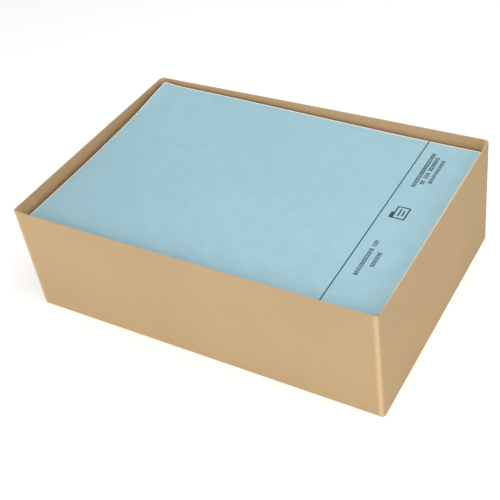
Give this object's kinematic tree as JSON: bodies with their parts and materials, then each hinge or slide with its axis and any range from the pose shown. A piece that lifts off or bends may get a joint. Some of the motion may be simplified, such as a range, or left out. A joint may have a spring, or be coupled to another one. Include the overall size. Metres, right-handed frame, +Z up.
{
  "type": "archival box",
  "caption": "Open kraft board tray filled with a pile of blue manila file folders, each with a prong fastener; folders lift out and the top one opens.",
  "frame": {"origin": "centre of the tray's underside", "axes": "+X along the tray's long side, towards the foot end of the folders; +Y towards the folders' open long edge, away from their fold; +Z up, out of the tray's open top"},
  "size_m": [0.362, 0.246, 0.115],
  "materials": {
    "kraft_board": "plain kraft board, matt, with fine fibres",
    "manila_board": "pulp-dyed light blue manila board, matt",
    "manila_cover": null,
    "fastener_steel": "bright tin-plated strip steel",
    "lock_steel": "bright tin-plated strip steel"
  },
  "bodies": {
    "tray": {"tray": "kraft_board"},
    "bundle_1": {"folder_01": "manila_board", "folder_02": "manila_board", "folder_03": "manila_board", "folder_04": "manila_board", "folder_05": "manila_board", "folder_06": "manila_board", "folder_07": "manila_board", "folder_08": "manila_board", "folder_09": "manila_board", "folder_10": "manila_board", "folder_11": "manila_board", "folder_12": "manila_board", "folder_13": "manila_board", "fasteners_1": "fastener_steel"},
    "bundle_2": {"folder_14": "manila_board", "folder_15": "manila_board", "folder_16": "manila_board", "folder_17": "manila_board", "folder_18": "manila_board", "folder_19": "manila_board", "folder_20": "manila_board", "folder_21": "manila_board", "folder_22": "manila_board", "folder_23": "manila_board", "folder_24": "manila_board", "folder_25": "manila_board", "fasteners_2": "fastener_steel"},
    "bundle_3": {"folder_26": "manila_board", "folder_27": "manila_board", "folder_28": "manila_board", "folder_29": "manila_board", "folder_30": "manila_board", "folder_31": "manila_board", "folder_32": "manila_board", "folder_33": "manila_board", "folder_34": "manila_board", "folder_35": "manila_board", "folder_36": "manila_board", "folder_37": "manila_board", "fasteners_3": "fastener_steel"},
    "bundle_4": {"folder_38": "manila_board", "folder_39": "manila_board", "folder_40": "manila_board", "folder_41": "manila_board", "folder_42": "manila_board", "folder_43": "manila_board", "folder_44": "manila_board", "folder_45": "manila_board", "folder_46": "manila_board", "folder_47": "manila_board", "folder_48": "manila_board", "folder_49": "manila_board", "fasteners_4": "fastener_steel"},
    "top_folder": {"top_folder_back": "manila_board", "top_fastener_base": "fastener_steel", "top_compressor_bar": "fastener_steel"},
    "top_cover": {"top_folder_cover": "manila_cover"},
    "left_lock": {"top_left_lock": "lock_steel"},
    "right_lock": {"top_right_lock": "lock_steel"}
  },
  "joints": [
    {"name": "bundle_1_lift", "type": "slide", "parent": "tray", "child": "bundle_1", "axis": [0, 0, 1], "range_m": [0, 0.12]},
    {"name": "bundle_2_lift", "type": "slide", "parent": "bundle_1", "child": "bundle_2", "axis": [0, 0, 1], "range_m": [0, 0.095]},
    {"name": "bundle_3_lift", "type": "slide", "parent": "bundle_2", "child": "bundle_3", "axis": [0, 0, 1], "range_m": [0, 0.07]},
    {"name": "bundle_4_lift", "type": "slide", "parent": "bundle_3", "child": "bundle_4", "axis": [0, 0, 1], "range_m": [0, 0.045]},
    {"name": "top_folder_lift", "type": "slide", "parent": "bundle_4", "child": "top_folder", "axis": [0, 0, 1], "range_m": [0, 0.02]},
    {"name": "cover_hinge", "type": "hinge", "parent": "top_folder", "child": "top_cover", "pos_m": [0, -0.11597, 0.1035], "axis": [1, 0, 0], "range_deg": [0, 114]},
    {"name": "left_lock_slide", "type": "slide", "parent": "top_folder", "child": "left_lock", "axis": [-1, 0, 0], "range_m": [-0.0175, 0.007]},
    {"name": "right_lock_slide", "type": "slide", "parent": "top_folder", "child": "right_lock", "axis": [1, 0, 0], "range_m": [-0.0175, 0.007]}
  ]
}
